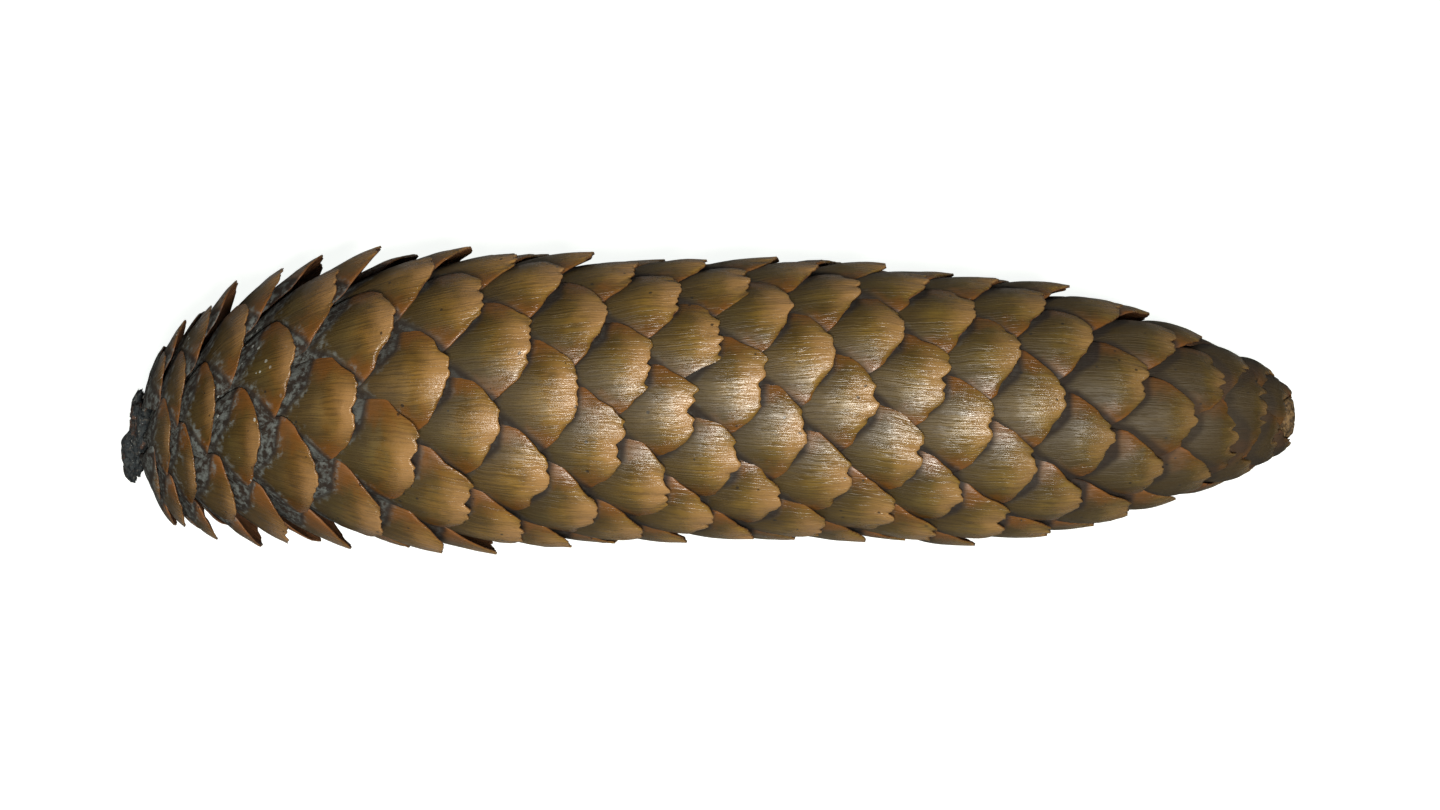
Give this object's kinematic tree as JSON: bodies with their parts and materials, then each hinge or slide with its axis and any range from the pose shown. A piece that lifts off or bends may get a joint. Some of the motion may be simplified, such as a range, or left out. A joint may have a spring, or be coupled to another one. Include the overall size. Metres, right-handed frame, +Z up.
{
  "type": "spruce cone",
  "caption": "Closed Norway spruce cone lying on its side: thin overlapping woody scales in golden-angle spirals round a central axis with a broken stalk.",
  "frame": {"origin": "middle of the underside, on the surface the cone rests on", "axes": "+X along the cone from the stalk end to the tip, +Z up from the ground"},
  "size_m": [0.1398, 0.0368, 0.0366],
  "materials": {
    "scale_wood": "satin, thin woody scales with fine lengthwise grain",
    "stalk_wood": "rough, weathered broken end grain"
  },
  "bodies": {
    "root": {"cone_axis": "stalk_wood", "scale_row_01": "scale_wood", "scale_row_02": "scale_wood", "scale_row_03": "scale_wood", "scale_row_04": "scale_wood", "scale_row_05": "scale_wood", "scale_row_06": "scale_wood", "scale_row_07": "scale_wood", "scale_row_08": "scale_wood", "scale_row_09": "scale_wood", "scale_row_10": "scale_wood", "scale_row_11": "scale_wood", "scale_row_12": "scale_wood", "scale_row_13": "scale_wood"}
  },
  "joints": []
}
